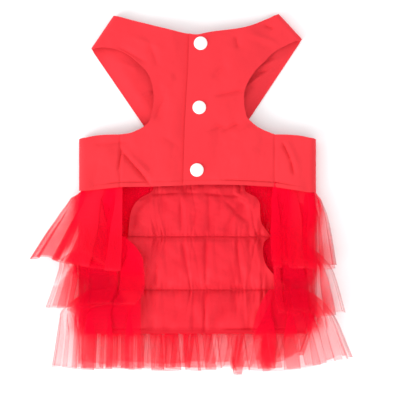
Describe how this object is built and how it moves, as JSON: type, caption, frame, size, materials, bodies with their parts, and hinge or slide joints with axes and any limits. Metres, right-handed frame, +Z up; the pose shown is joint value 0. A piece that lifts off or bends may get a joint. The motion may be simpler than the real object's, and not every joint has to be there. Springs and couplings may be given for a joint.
{
  "type": "dog dress",
  "caption": "Small dog's sleeveless party dress lying flat: snap-front cotton bodice with shoulder straps, and a tiered lining with gathered tulle ruffles.",
  "frame": {"origin": "on the table under the middle of the dress", "axes": "+Y from the skirt's hem to the neck, +X across the dress, +Z up from the table through the snap front"},
  "size_m": [0.2948, 0.3292, 0.0267],
  "materials": {
    "bodice_cloth": "plain woven cotton, matt bright red",
    "lining_cloth": "smooth woven lining with a soft sheen",
    "tulle": "fine open net",
    "snap_plastic": "white moulded plastic"
  },
  "bodies": {
    "root": {"back_panel": "bodice_cloth", "front_left_panel": "bodice_cloth", "front_right_panel": "bodice_cloth", "snap_cap_upper": "snap_plastic", "snap_cap_middle": "snap_plastic", "snap_cap_lower": "snap_plastic", "snap_stud_upper": "snap_plastic", "snap_stud_middle": "snap_plastic", "snap_stud_lower": "snap_plastic", "lining_upper_tier": "lining_cloth", "lining_middle_tier": "lining_cloth", "lining_lower_tier": "lining_cloth", "ruffle_upper": "tulle", "ruffle_middle": "tulle", "ruffle_lower": "tulle"}
  },
  "joints": []
}
